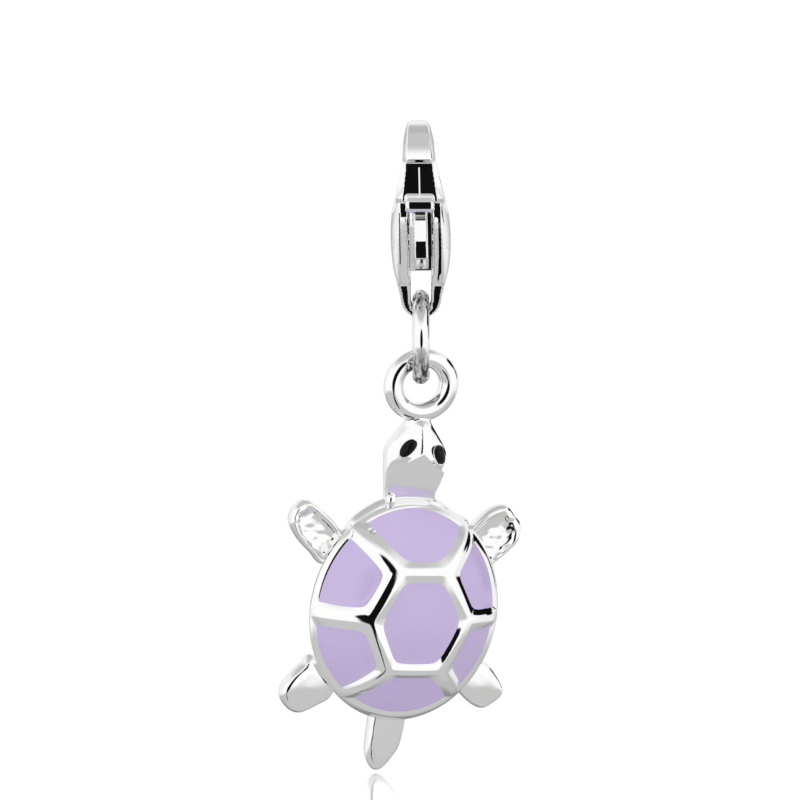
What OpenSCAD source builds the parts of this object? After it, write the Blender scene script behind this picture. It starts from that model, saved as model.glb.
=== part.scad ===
// Turtle charm on a jump ring and a trigger clasp, hanging from the hook of the clasp.
// The origin is the top of the hook's opening. +Z is up, and the turtle's back faces -Y.

/* [Clasp] */
// Greatest thickness across the cheeks
clasp_w = 3; // [2.8:0.05:3.1]
// Greatest depth from the gate to the spine
clasp_d = 4.9; // [4.8:0.05:5.1]
// Width of the slot between the cheeks, where the lever turns
lever_slot_w = 1.42; // [1.36:0.02:1.5]
// Width of the lever where it lies in that slot
lever_w = 1.3; // [1.2:0.02:1.32]
// Width of the slot above the tail bar, where the ring passes
tail_slot_w = 1; // [0.96:0.01:1.04]
// Radius of the tail bar's metal
tail_bar_r = 0.26; // [0.22:0.01:0.27]
// Radius of the rivet that the lever turns on
rivet_r = 0.35; // [0.3:0.01:0.4]
// Running gap round the rivet
rivet_gap = 0.03; // [0.02:0.01:0.05]

/* [Jump ring] */
// Radius of the ring to the middle of its wire
ring_r = 1.953; // [1.93:0.001:1.97]
// Radius of the ring's wire
ring_wire_r = 0.425; // [0.4:0.005:0.43]

/* [Turtle] */
// Inner radius of the loop on the turtle's head
loop_hole_r = 0.98; // [0.95:0.01:1.05]
// Radius of the loop's metal
loop_wire_r = 0.43; // [0.38:0.01:0.45]
// Width of the shell
shell_w = 10.1; // [9.8:0.1:10.6]
// Length of the shell
shell_l = 11; // [10.6:0.1:11.4]
// Height of the shell's dome above its rim
dome_h = 2.65; // [2.5:0.05:2.9]
// Height of the rim's plain side wall
rim_h = 0.6; // [0.5:0.05:0.7]
// Depth of the belly's bulge behind the rim
belly_h = 0.75; // [0.6:0.05:1]
// Distance from the loop's middle down to the shell's middle
shell_drop = 11.6; // [11.4:0.05:11.7]
// Width of the raised bars between the enamel cells
bar_w = 0.78; // [0.6:0.02:0.85]

/* [Enamel] */
// How far the enamel lies below the top of the bars
enamel_dip = 0.12; // [0.08:0.01:0.2]
// Depth of the cells below the top of the bars
cell_depth = 0.5; // [0.4:0.05:0.6]
// Gap between a filling and the metal round it
seat_gap = 0.03; // [0.02:0.01:0.05]

/* [Pose] */
// Turn of the turtle about the vertical, its back towards +X
turn = 22; // [10:1:30]
// Lean of the turtle's head forwards
nod = 3; // [0:0.5:5]
// Lean of the turtle's head towards +X
lean = 4; // [0:0.5:5]

/* [Hidden] */

SILVER = [0.86, 0.86, 0.88];
BRIGHT = [0.75, 0.75, 0.78];
LILAC = [0.74, 0.66, 0.86];
BLACK = [0.05, 0.05, 0.06];

// A cut runs this far past the surface that it opens
past = 1;
// Sides of the round forms
fine = 96;
round_bend = 64;
round_pin = 48;
round_wire = 32;

// Clasp. Its profiles lie in the YZ plane, with the gate in front at -Y
// A row is [height, share of the width, share of the depth in front, share behind]
CLASP_ROWS = [
    [1.1, 0.2, 0.2, 0.26],
    [0.96, 0.33, 0.46, 0.5],
    [0.62, 0.42, 0.68, 0.72],
    [0, 0.51, 0.83, 0.88],
    [-0.6, 0.59, 0.905, 0.96],
    [-1.3, 0.69, 0.94, 1],
    [-2.3, 0.83, 0.95, 1.02],
    [-3.5, 0.94, 0.92, 0.97],
    [-4.5, 1, 0.85, 0.89],
    [-5.6, 0.985, 0.735, 0.77],
    [-6.5, 0.91, 0.62, 0.65],
    [-7.2, 0.79, 0.5, 0.5],
    [-7.7, 0.71, 0.36, 0.36],
    [-8, 0.67, 0.24, 0.24],
    [-8.3, 0.62, 0.14, 0.14]];
// How square the clasp's sections are: 2 is an ellipse
clasp_squareness = 2.6;
clasp_sides = 24;
// The hook's opening: a round top, and the corners of its lower edge from the spine to the gate
hook_r = 1.5;
hook_y = -0.1;
hook_heel = -8;
hook_sides = 24;
HOOK_FLOOR = [[1.38, -2.2], [1.05, -3.1], [0.3, -3.45], [-1, -3.1], [-2.4, -2.45], [-4, -2.45],
    [-4, -2], [-1.6, -2]];
// The mouth in front of it, from its lower front corner up
MOUTH_CORNER = [-4, -2.6];
mouth_h = 2.4;
// The rivet, which is also the lever's pivot
pivot_y = -0.9;
pivot_z = -4.9;
rivet_l = 2.86;
// The nose ends on this radius about the pivot, and the gate just short of it
nose_end_r = 4.32;
gate_gap = 0.05;
// The lever slot's back wall and its foot
slot_back_y = 0.9;
slot_foot_z = -6.55;
slot_h = 4.5;
// The lever from its gate down to its tongue and back up inside
LEVER_OUTLINE = [[-2.28, 0], [-2.35, -1.6], [-2.37, -2.36], [-2.95, -2.5], [-3.13, -2.66], [-3.13, -2.95],
    [-2.9, -3.08], [-2.2, -3.15], [-2.1, -4], [-1.88, -4.9], [-1.63, -5.7], [-1.36, -6.32],
    [-0.9, -6.38], [-0.35, -5.9], [0, -5.2], [0.05, -4.7], [-0.3, -4], [-0.9, -3.6],
    [-1.45, -3.2], [-1.62, -2.4], [-1.64, -1.6], [-1.5, 0]];
// The gate arm's right edge down its length: [half width, height]
GATE_FRONT = [[0.66, 0], [0.74, -1.1], [0.86, -2.05], [0.65, -2.3]];
// Below this height the lever is as narrow as its tongue, down past its end
tongue_top_z = -2;
tongue_h = 5;
// The rib that stands on the tongue, and its half width
RIB_OUTLINE = [[-2.2, -3.3], [-2.26, -4], [-2.04, -4.9], [-1.79, -5.7], [-1.6, -6.1], [-1.2, -6.1],
    [-1.2, -3.3]];
rib_half_w = 0.3;

// Tail bar: half a torus under the tail slot
tail_r = tail_slot_w / 2 + tail_bar_r;
tail_z = -7.9;
bar_z = tail_z - tail_r;

// Jump ring, hung on the tail bar
hang_gap = 0.06;
ring_z = bar_z + tail_bar_r + hang_gap + ring_wire_r - ring_r;
ring_bottom_z = ring_z - ring_r;

// The turtle's own frame has its origin in the middle of the loop, its back at -Y and its head up
loop_gap = 0.09;
loop_z = ring_bottom_z + ring_wire_r + loop_gap - loop_hole_r;
loop_r = loop_hole_r + loop_wire_r;
loop_stretch = 1.06;
loop_sides = 36;
loop_wire_sides = 16;
rim_y = -0.45;
// How much narrower the rim is at its back, all round
rim_taper = 0.22;

// The dome is a cap cut from a sphere, then stretched to the shell's length and height
half_w = shell_w / 2;
length_share = shell_l / shell_w;
cut_share = 0.15;
ball_r = half_w / sqrt(1 - cut_share * cut_share);
cap_h = ball_r * (1 - cut_share);
height_share = dome_h / cap_h;
dome_sides = 56;
// Share of the rim's radius where the enamel cells end
cell_edge_share = 0.955;
// The cells' floor stays this far in front of the rim
cell_foot = 0.3;
cell_round_r = 0.3;

// Corners of the middle cell and the places where the bars meet the rim, clockwise from the upper left
HEXAGON = [[-1.4, 2.54], [1.38, 2.54], [2.82, 0], [1.56, -2.64], [-1.58, -2.64], [-2.8, 0]];
BAR_ENDS = [[-3.6, 4.9], [3.5, 4.9], [6, -0.1], [3.6, -4.9], [-3.7, -4.9], [-6, -0.05]];

// Head and neck. A row is [height above the shell's middle, half width, front, back]
HEAD_ROWS = [
    [9.95, 0.56, 0.36, 0.36],
    [9.5, 0.74, 0.5, 0.42],
    [9.1, 1.04, 0.72, 0.5],
    [8.65, 1.34, 0.95, 0.58],
    [8.1, 1.5, 1.12, 0.62],
    [7.4, 1.47, 1.08, 0.64],
    [6.8, 1.37, 0.82, 0.66],
    [6.2, 1.28, 0.5, 0.66],
    [5.6, 1.24, 0.34, 0.64],
    [4.6, 1.2, 0.3, 0.6]];
head_squareness = 2.5;
// How much wider the head's sections are behind than in front
head_pear = 0.12;
head_sides = 20;

// Eyes: half sizes across, deep and along, their place and their turns
EYE_SIZE = [0.31, 0.2, 0.5];
EYE_PLACE = [0.9, -0.9, 8.4];
eye_tilt = 32;
eye_face = 34;
pit_margin = 0.05;
eye_sides = 24;

// Limbs lie behind the rim. A row is [across, along, radius] from root to tip
limb_y = 0.9;
limb_flat = 0.62;
LEG_FRONT_LEFT = [[-3.8, 3, 1.12], [-4.6, 3.75, 1.04], [-5.28, 4.42, 0.96]];
LEG_FRONT_RIGHT = [[3.9, 2.8, 1.12], [4.66, 3.52, 1.08], [5.3, 4.24, 1]];
LEG_REAR_LEFT = [[-3.4, -3.2, 1.1], [-4.3, -3.88, 1.02], [-5.04, -4.46, 0.96]];
LEG_REAR_RIGHT = [[3.4, -3.2, 1.1], [4.3, -3.85, 1.02], [5.08, -4.34, 0.94]];
TAIL = [[0.22, -4.9, 0.98], [0.16, -6.6, 0.95], [-0.14, -7.94, 0.44]];
// Shoulders between the neck and the front legs
SHOULDERS = [[-3, 4.05, 0.85], [-1.4, 4.9, 0.8], [1.2, 5, 0.8], [2.7, 4.15, 0.8]];
tail_flat = 0.5;
shoulder_flat = 0.7;
limb_sides = 16;

function powered(v, p) = sign(v) * pow(abs(v), p);

function section(z, half, front, back, squareness, sides, pear = 0) = [for (i = [0:sides - 1])
    [half * powered(cos(360 * i / sides), 2 / squareness) * (1 + pear * sin(360 * i / sides)),
    (back - front) / 2 + (back + front) / 2 * powered(sin(360 * i / sides), 2 / squareness), z]];

function arc(y, z, r, from, to, steps) = [for (i = [0:steps])
    [y + r * cos(from + (to - from) * i / steps), z + r * sin(from + (to - from) * i / steps)]];

// Closes a stack of equal rings of points, given from the top down, into one solid
module loft(rings) {
    n = len(rings[0]);
    last = len(rings) - 1;
    polyhedron(
        points = [for (ring = rings) each ring],
        faces = concat(
            [[for (i = [n - 1:-1:0]) i]],
            [for (k = [0:last - 1], i = [0:n - 1])
                [k * n + i, k * n + (i + 1) % n, (k + 1) * n + (i + 1) % n, (k + 1) * n + i]],
            [[for (i = [0:n - 1]) last * n + i]]),
        convexity = 4);
}

// Extrudes an outline of the YZ plane to both sides of X = 0
module across(w) {
    rotate([90, 0, 90])
        linear_extrude(height = w, center = true)
            children();
}

// Clasp
module clasp_blank() {
    loft([for (row = CLASP_ROWS)
        section(row[0], row[1] * clasp_w / 2, row[2] * clasp_d / 2, row[3] * clasp_d / 2,
            clasp_squareness, clasp_sides)]);
}

module hook_opening() {
    across(clasp_w + past)
        polygon(concat(arc(hook_y, -hook_r, hook_r, 180, hook_heel, hook_sides), HOOK_FLOOR));
    // The mouth that the gate arm closes
    across(clasp_w + past)
        intersection() {
            translate([pivot_y, pivot_z])
                circle(r = nose_end_r, $fn = fine);
            translate(MOUTH_CORNER)
                square([hook_y - MOUTH_CORNER[0], mouth_h]);
        }
}

module tail_bar() {
    translate([0, 0, tail_z])
        rotate([90, 0, 0])
            rotate_extrude(angle = 180, start = 180, $fn = round_bend)
                translate([tail_r, 0])
                    circle(r = tail_bar_r, $fn = round_wire);
}

module clasp_body() {
    color(SILVER) {
        difference() {
            clasp_blank();
            hook_opening();
            translate([-lever_slot_w / 2, -clasp_d, slot_foot_z])
                cube([lever_slot_w, clasp_d + slot_back_y, slot_h]);
            translate([-tail_slot_w / 2, -clasp_d, bar_z - past])
                cube([tail_slot_w, 2 * clasp_d, slot_foot_z - bar_z + 2 * past]);
            translate([-clasp_w, pivot_y, pivot_z])
                rotate([0, 90, 0])
                    cylinder(r = rivet_r + rivet_gap, h = 2 * clasp_w, $fn = round_pin);
        }
        tail_bar();
    }
}

module clasp_rivet() {
    color(BRIGHT)
        translate([-rivet_l / 2, pivot_y, pivot_z])
            rotate([0, 90, 0])
                cylinder(r = rivet_r, h = rivet_l, $fn = round_pin);
}

module gate_and_tongue() {
    intersection() {
        across(clasp_w)
            intersection() {
                polygon(LEVER_OUTLINE);
                translate([pivot_y, pivot_z])
                    circle(r = nose_end_r - gate_gap, $fn = fine);
            }
        rotate([90, 0, 0])
            linear_extrude(height = 2 * clasp_d, center = true)
                union() {
                    polygon(concat(GATE_FRONT, [for (i = [len(GATE_FRONT) - 1:-1:0])
                        [-GATE_FRONT[i][0], GATE_FRONT[i][1]]]));
                    translate([-lever_w / 2, tongue_top_z - tongue_h])
                        square([lever_w, tongue_h]);
                }
    }
}

module clasp_lever() {
    color(BRIGHT)
        difference() {
            union() {
                gate_and_tongue();
                across(2 * rib_half_w)
                    polygon(RIB_OUTLINE);
            }
            translate([-clasp_w, pivot_y, pivot_z])
                rotate([0, 90, 0])
                    cylinder(r = rivet_r + rivet_gap, h = 2 * clasp_w, $fn = round_pin);
        }
}

// Jump ring
module jump_ring() {
    color(SILVER)
        translate([0, 0, ring_z])
            rotate([0, 90, 0])
                rotate_extrude($fn = round_bend)
                    translate([ring_r, 0])
                        circle(r = ring_wire_r, $fn = round_wire);
}

// Turtle
module pose() {
    translate([0, 0, loop_z])
        rotate([0, lean, 0])
            rotate([0, 0, turn])
                rotate([nod, 0, 0])
                    children();
}

// Puts the shell's middle, on its rim, in the turtle's frame
module on_shell() {
    translate([0, rim_y, -shell_drop])
        children();
}

// Stretches a sphere's cap to the dome, which stands on the rim towards -Y
module dome_space() {
    scale([1, height_share, length_share])
        translate([0, cut_share * ball_r, 0])
            children();
}

module dome_ball(inset, sides) {
    dome_space()
        sphere(r = ball_r - inset, $fn = sides);
}

// All that lies in front of the rim by the given distance
module in_front(distance) {
    translate([-shell_w, -shell_w - distance, -shell_l])
        cube([shell_w * 2, shell_w, shell_l * 2]);
}

module cell_shape(i, shrink) {
    j = (i + 1) % 6;
    offset(r = cell_round_r)
        offset(delta = -cell_round_r - bar_w / 2 - shrink)
            polygon([HEXAGON[i], BAR_ENDS[i], BAR_ENDS[i] + BAR_ENDS[j], BAR_ENDS[j], HEXAGON[j]]);
}

module centre_shape(shrink) {
    offset(r = cell_round_r)
        offset(delta = -cell_round_r - bar_w / 2 - shrink)
            polygon(HEXAGON);
}

module edge_shape(shrink) {
    scale([1, length_share])
        circle(r = half_w * cell_edge_share - shrink, $fn = dome_sides);
}

// Stands a plan of the shell up, through the whole dome
module plan_up() {
    rotate([90, 0, 0])
        linear_extrude(height = shell_w, center = true)
            children();
}

module all_cells() {
    plan_up()
        intersection() {
            union() {
                centre_shape(0);
                for (i = [0:5])
                    cell_shape(i, 0);
            }
            edge_shape(0);
        }
}

module shell() {
    difference() {
        intersection() {
            dome_ball(0, dome_sides);
            in_front(0);
        }
        difference() {
            all_cells();
            dome_ball(cell_depth, dome_sides);
            translate([0, shell_w - cell_foot, 0])
                in_front(0);
        }
    }
    // The rim's side wall
    scale([1, 1, length_share])
        rotate([-90, 0, 0])
            cylinder(r1 = half_w, r2 = half_w - rim_taper, h = rim_h, $fn = dome_sides);
    // The belly
    intersection() {
        translate([0, rim_h, 0])
            scale([1, belly_h / half_w, length_share])
                sphere(r = half_w - rim_taper, $fn = dome_sides);
        translate([-half_w, rim_h / 2, -shell_l])
            cube([shell_w, shell_w, 2 * shell_l]);
    }
}

module limb(rows, flat) {
    for (i = [0:len(rows) - 2])
        hull()
            for (row = [rows[i], rows[i + 1]])
                translate([row[0], limb_y, row[1]])
                    scale([1, flat, 1])
                        sphere(r = row[2], $fn = limb_sides);
}

module head() {
    loft([for (row = HEAD_ROWS)
        section(row[0], row[1], row[2], row[3], head_squareness, head_sides, head_pear)]);
}

module eye_drop(side, margin) {
    translate([side * EYE_PLACE[0], EYE_PLACE[1], EYE_PLACE[2]])
        rotate([0, 0, side * eye_face])
            rotate([0, -side * eye_tilt, 0])
                scale([EYE_SIZE[0] + margin, EYE_SIZE[1] + margin, EYE_SIZE[2] + margin])
                    sphere(r = 1, $fn = eye_sides);
}

module loop() {
    scale([loop_stretch, 1, 1])
        rotate([90, 0, 0])
            rotate_extrude($fn = loop_sides)
                translate([loop_r, 0])
                    circle(r = loop_wire_r, $fn = loop_wire_sides);
}

module turtle_body() {
    color(SILVER)
        pose() {
            loop();
            on_shell() {
                shell();
                limb(LEG_FRONT_LEFT, limb_flat);
                limb(LEG_FRONT_RIGHT, limb_flat);
                limb(LEG_REAR_LEFT, limb_flat);
                limb(LEG_REAR_RIGHT, limb_flat);
                limb(TAIL, tail_flat);
                limb(SHOULDERS, shoulder_flat);
            }
            translate([0, 0, -shell_drop])
                difference() {
                    head();
                    for (side = [-1, 1])
                        eye_drop(side, pit_margin);
                }
        }
}

// Fills a cell of the given plan from its floor to a little under the bars
module enamel() {
    color(LILAC)
        pose()
            on_shell()
                intersection() {
                    plan_up()
                        intersection() {
                            children();
                            edge_shape(seat_gap);
                        }
                    difference() {
                        dome_ball(enamel_dip, fine);
                        dome_ball(cell_depth - seat_gap, fine);
                    }
                    in_front(cell_foot + seat_gap);
                }
}

module eye(side) {
    color(BLACK)
        pose()
            translate([0, 0, -shell_drop])
                eye_drop(side, 0);
}

clasp_body();
clasp_rivet();
clasp_lever();
jump_ring();
turtle_body();
enamel() centre_shape(seat_gap);  // enamel_centre
enamel() cell_shape(0, seat_gap);  // enamel_top
enamel() cell_shape(1, seat_gap);  // enamel_upper_right
enamel() cell_shape(2, seat_gap);  // enamel_lower_right
enamel() cell_shape(3, seat_gap);  // enamel_bottom
enamel() cell_shape(4, seat_gap);  // enamel_lower_left
enamel() cell_shape(5, seat_gap);  // enamel_upper_left
eye(-1);  // eye_left
eye(1);  // eye_right
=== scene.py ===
"""Turtle charm: a polished silver turtle with lilac enamel, on a jump ring and a trigger clasp."""
import math

import bpy
from mathutils import Matrix, Vector, noise


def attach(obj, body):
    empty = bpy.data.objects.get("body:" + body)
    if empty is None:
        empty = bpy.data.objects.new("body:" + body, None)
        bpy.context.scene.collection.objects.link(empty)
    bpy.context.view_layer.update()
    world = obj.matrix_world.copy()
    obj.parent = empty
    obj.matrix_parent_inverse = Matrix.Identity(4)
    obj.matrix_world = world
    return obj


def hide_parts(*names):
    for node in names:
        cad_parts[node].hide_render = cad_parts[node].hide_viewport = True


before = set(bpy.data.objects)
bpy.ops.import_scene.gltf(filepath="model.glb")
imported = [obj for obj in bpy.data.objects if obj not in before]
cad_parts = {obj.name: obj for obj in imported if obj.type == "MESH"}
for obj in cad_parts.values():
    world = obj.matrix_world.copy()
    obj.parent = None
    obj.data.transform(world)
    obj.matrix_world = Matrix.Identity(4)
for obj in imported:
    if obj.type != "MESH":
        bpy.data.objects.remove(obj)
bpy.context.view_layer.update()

# Every form is modelled in millimetres, in its piece's own frame
# When it is done, it goes to its place in metres
MM = 0.001
# An edge is sharp from this angle on
SHARP_FROM = math.radians(50)

# Jump ring and tail bar
RING_R = 1.953
RING_WIRE_R = 0.425
TAIL_BAR_R = 0.26
TAIL_SLOT_W = 1.0
TAIL_R = TAIL_SLOT_W / 2 + TAIL_BAR_R
TAIL_Z = -7.9
BAR_Z = TAIL_Z - TAIL_R
# How far the ring hangs free of the tail bar, and the loop of the ring
RING_SLACK, LOOP_SLACK = 0.06, 0.09
RING_Z = BAR_Z + TAIL_BAR_R + RING_SLACK + RING_WIRE_R - RING_R

# The turtle's own frame: its origin is the middle of the loop, its back is at -Y and its head up
LOOP_HOLE_R = 0.98
LOOP_STRETCH = 1.06
LOOP_MIDDLE_R, LOOP_SWELL_R = 1.405, 0.47
LOOP_Z = RING_Z - RING_R + RING_WIRE_R + LOOP_SLACK - LOOP_HOLE_R
TURN, NOD, LEAN = math.radians(22), math.radians(3), math.radians(4)
SHELL_DROP = 11.6
SHELL_UP = 0.08
RIM_Y = -0.45
HALF_W = 5.05
HALF_L = 5.62
DOME_H = 2.65
# The dome is the cap of a ball, which is cut this share of its radius above its middle
CUT_SHARE = 0.15
# Behind the dome the rim narrows by its taper, and the belly bulges out of it
RIM_H = 0.6
RIM_TAPER = 0.22
BELLY_H = 0.75
# The shell's hexagon of bars and the outer ends of the bars round it, as (across, along) from its middle
HEXAGON = [(-1.38, 2.54), (1.36, 2.54), (2.76, 0), (1.5, -2.64), (-1.45, -2.63), (-2.68, 0)]
BAR_ENDS = [(-3.6, 4.9), (3.5, 4.9), (6, -0.1), (3.6, -4.9), (-3.7, -4.9), (-6, -0.05)]


# Ways of making a form


def clear_selection():
    if bpy.context.object and bpy.context.object.mode != "OBJECT":
        bpy.ops.object.mode_set(mode="OBJECT")
    bpy.ops.object.select_all(action="DESELECT")


def pick(piece):
    clear_selection()
    piece.select_set(True)
    bpy.context.view_layer.objects.active = piece


def named(name):
    piece = bpy.context.active_object
    piece.name = piece.data.name = name
    return piece


def edit(piece, *steps):
    """Runs steps in edit mode with all of the piece selected."""
    pick(piece)
    bpy.ops.object.mode_set(mode="EDIT")
    bpy.ops.mesh.select_all(action="SELECT")
    for step in steps:
        step()
    bpy.ops.object.mode_set(mode="OBJECT")


def face_out(piece):
    edit(piece, lambda: bpy.ops.mesh.normals_make_consistent(inside=False))


def modify(piece, kind, **settings):
    pick(piece)
    modifier = piece.modifiers.new(kind.lower(), kind)
    for key, value in settings.items():
        setattr(modifier, key, value)
    bpy.ops.object.modifier_apply(modifier=modifier.name)


def combine(piece, tool, how):
    modify(piece, "BOOLEAN", object=tool, operation=how, solver="EXACT")
    bpy.data.objects.remove(tool)


def join(name, *parts):
    clear_selection()
    for part in parts:
        part.select_set(True)
    bpy.context.view_layer.objects.active = parts[0]
    bpy.ops.object.join()
    return named(name)


def stand(piece, matrix):
    """Moves a form within its piece's frame."""
    pick(piece)
    piece.matrix_world = matrix
    bpy.ops.object.transform_apply(location=True, rotation=True, scale=True)


def placed(name, matrix=Matrix()):
    """Names a new primitive, and takes its place and turn into its mesh, and then a further move."""
    piece = named(name)
    stand(piece, matrix @ piece.matrix_world)
    return piece


def turned(angle, axis, middle):
    """A turn about an axis through a middle point."""
    there = Matrix.Translation(middle)
    return there @ Matrix.Rotation(angle, 4, axis) @ there.inverted()


def stack(name, rows, sides, outline):
    """A closed form drawn out of a disc, one ring for each row. outline(row, angle) gives its points."""
    clear_selection()
    bpy.ops.mesh.primitive_circle_add(vertices=sides, radius=1, fill_type="NGON")
    piece = named(name)

    def step():
        bpy.ops.mesh.extrude_region_move(TRANSFORM_OT_translate={"value": (0, 0, -1)})

    edit(piece, *[step] * (len(rows) - 1))
    for v in piece.data.vertices:
        v.co = outline(rows[round(-v.co.z)], math.atan2(v.co.y, v.co.x))
    face_out(piece)
    return piece


def plate(name, outline, width):
    """A plate with an outline in the YZ plane, equally far to both sides of X = 0."""
    clear_selection()
    bpy.ops.mesh.primitive_circle_add(vertices=len(outline), radius=1, fill_type="NGON")
    piece = named(name)
    for v, (y, z) in zip(piece.data.vertices, outline):
        v.co = (-width / 2, y, z)
    across = {"value": (width, 0, 0)}
    edit(piece, lambda: bpy.ops.mesh.extrude_region_move(TRANSFORM_OT_translate=across))
    face_out(piece)
    return piece


def block(name, low, high):
    clear_selection()
    bpy.ops.mesh.primitive_cube_add(size=1, location=[(a + b) / 2 for a, b in zip(low, high)],
                                    scale=[b - a for a, b in zip(low, high)])
    return placed(name)


def pin(name, radius, length, place):
    """A round pin along X."""
    clear_selection()
    bpy.ops.mesh.primitive_cylinder_add(vertices=64, radius=radius, depth=length, location=place,
                                        rotation=(0, math.pi / 2, 0))
    return placed(name)


def hoop(name, middle_r, wire_r, steps, wire_steps, matrix):
    """Round wire in a circle that faces front."""
    clear_selection()
    bpy.ops.mesh.primitive_torus_add(major_radius=middle_r, minor_radius=wire_r, major_segments=steps,
                                     minor_segments=wire_steps, rotation=(math.pi / 2, 0, 0))
    return placed(name, matrix)


def drop_form(name, size, matrix, fineness=5):
    """A round drop of three half sizes."""
    clear_selection()
    bpy.ops.mesh.primitive_ico_sphere_add(subdivisions=fineness, radius=1)
    return placed(name, matrix @ Matrix.Diagonal((*size, 1)))


def cast(piece, grain, passes):
    """Turns a rough form into one skin with the soft edges of a casting."""
    modify(piece, "REMESH", mode="VOXEL", voxel_size=grain, use_smooth_shade=True)
    modify(piece, "SMOOTH", factor=0.5, iterations=passes)


def powered(value, power):
    return math.copysign(abs(value) ** power, value)


def between(a, b, c, d, t):
    """A point of the smooth curve from b to c; a and d are their neighbours."""
    return [(2 * q + (r - p) * t + (2 * p - 5 * q + 4 * r - s) * t * t
             + (3 * q - p - 3 * r + s) * t ** 3) / 2 for p, q, r, s in zip(a, b, c, d)]


def spread(rows, count):
    """Rows along a smooth curve through the given rows."""
    made = []
    last = len(rows) - 1
    for k in range(count):
        at = k * last / (count - 1)
        i = min(int(at), last - 1)
        made.append(between(rows[max(i - 1, 0)], rows[i], rows[i + 1], rows[min(i + 2, last)], at - i))
    return made


def set_down(piece, name, body, node, material, pose=Matrix()):
    """Takes a finished piece to its place in metres, puts it on what it rides on, and hides the node
    that it stands for.
    """
    stand(piece, Matrix.Scale(MM, 4) @ pose)
    piece.name = piece.data.name = name
    piece.data.materials.clear()
    piece.data.materials.append(material)
    pick(piece)
    bpy.ops.object.shade_smooth_by_angle(angle=SHARP_FROM)
    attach(piece, body)
    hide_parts(node)


# Materials


class Value:
    """A socket that takes sums in plain Python."""

    def __init__(self, sheet, socket):
        self.sheet, self.socket = sheet, socket

    def _math(self, operation, *others):
        return self.sheet.node("ShaderNodeMath", {"operation": operation}, dict(enumerate(others)))

    def __add__(self, other):
        return self._math("ADD", self, other)

    def __sub__(self, other):
        return self._math("SUBTRACT", self, other)

    def __rsub__(self, other):
        return self._math("SUBTRACT", other, self)

    def __mul__(self, other):
        return self._math("MULTIPLY", self, other)

    def __truediv__(self, other):
        return self._math("DIVIDE", self, other)

    def out(self, name):
        """Another output of the same node."""
        return Value(self.sheet, self.socket.node.outputs[name])

    __radd__, __rmul__ = __add__, __mul__


class Sheet:
    """The nodes of one material or of the world."""

    def __init__(self, owner):
        owner.use_nodes = True
        self.tree = owner.node_tree
        self.tree.nodes.clear()

    def node(self, kind, settings=None, inputs=None, output=0):
        made = self.tree.nodes.new(kind)
        for key, value in (settings or {}).items():
            setattr(made, key, value)
        for key, value in (inputs or {}).items():
            if isinstance(value, Value):
                self.tree.links.new(value.socket, made.inputs[key])
            else:
                made.inputs[key].default_value = value
        return Value(self, made.outputs[output]) if made.outputs else None


# The sockets for the two colours and the result of a node that mixes colours
COLOUR_A, COLOUR_B, COLOUR_OUT = 6, 7, 2


def blended(sheet, share, first, second):
    """A colour that goes from the first to the second with the share."""
    return sheet.node("ShaderNodeMix", {"data_type": "RGBA"}, {
        "Factor": share, COLOUR_A: first, COLOUR_B: second}, COLOUR_OUT)


def grey(level):
    return (level, level, level, 1)


def new_material(name):
    material = bpy.data.materials.new(name)
    return material, Sheet(material)


def fine_noise(sheet, place, stretch, detail):
    """Noise of about a millimetre, made finer by stretch along each axis."""
    return sheet.node("ShaderNodeTexNoise", {}, {
        "Vector": sheet.node("ShaderNodeMapping", {}, {"Vector": place, "Scale": stretch}),
        "Scale": 1000.0, "Detail": detail})


# How far the silver's clouds dim its tone and shift its roughness, and the colour of its stains
CLOUD_SHADE, CLOUD_UNEVEN = 0.975, 0.03
STAIN_COLOUR = (0.06, 0.06, 0.063, 1)
# How strongly the enamel's clouds and specks shift its colour, and the clouds its roughness
ENAMEL_CLOUDS, ENAMEL_SPECKS, ENAMEL_UNEVEN = 0.9, 0.15, 0.04


def silver(name, tone, roughness, stain=None):
    """Polished silver, faintly clouded and finely lined, and dark where its stain attribute says so."""
    material, sheet = new_material(name)
    place = sheet.node("ShaderNodeTexCoord", output="Object")
    cloud = sheet.node("ShaderNodeTexNoise", {}, {"Vector": place, "Scale": 450.0, "Detail": 3.0})
    lines = fine_noise(sheet, place, (9.0, 9.0, 0.6), 2.0)
    tint = blended(sheet, cloud, (*[t * CLOUD_SHADE for t in tone], 1), (*tone, 1))
    bump = sheet.node("ShaderNodeBump", {}, {"Strength": 0.02, "Distance": 0.00002, "Height": lines})
    if stain:
        dark = sheet.node("ShaderNodeAttribute", {"attribute_name": stain}, output="Fac")
        tint = blended(sheet, dark, tint, STAIN_COLOUR)
    shader = sheet.node("ShaderNodeBsdfPrincipled", {}, {
        "Base Color": tint, "Metallic": 1.0, "Roughness": roughness + CLOUD_UNEVEN * (cloud - 0.5),
        "Normal": bump})
    sheet.node("ShaderNodeOutputMaterial", {}, {"Surface": shader})
    return material


def enamel(name, deep, light, roughness, gloss):
    """Glossy enamel whose colour clouds softly."""
    material, sheet = new_material(name)
    place = sheet.node("ShaderNodeTexCoord", output="Object")
    cloud = sheet.node("ShaderNodeTexNoise", {}, {"Vector": place, "Scale": 220.0, "Detail": 2.0})
    speck = fine_noise(sheet, place, (6.0, 6.0, 6.0), 1.0)
    share = 0.5 + ENAMEL_CLOUDS * (cloud - 0.5) + ENAMEL_SPECKS * (speck - 0.5)
    tint = blended(sheet, share, (*deep, 1), (*light, 1))
    shader = sheet.node("ShaderNodeBsdfPrincipled", {}, {
        "Base Color": tint, "Roughness": roughness + ENAMEL_UNEVEN * (cloud - 0.5), "IOR": 1.5,
        "Specular IOR Level": gloss})
    sheet.node("ShaderNodeOutputMaterial", {}, {"Surface": shader})
    return material


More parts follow.
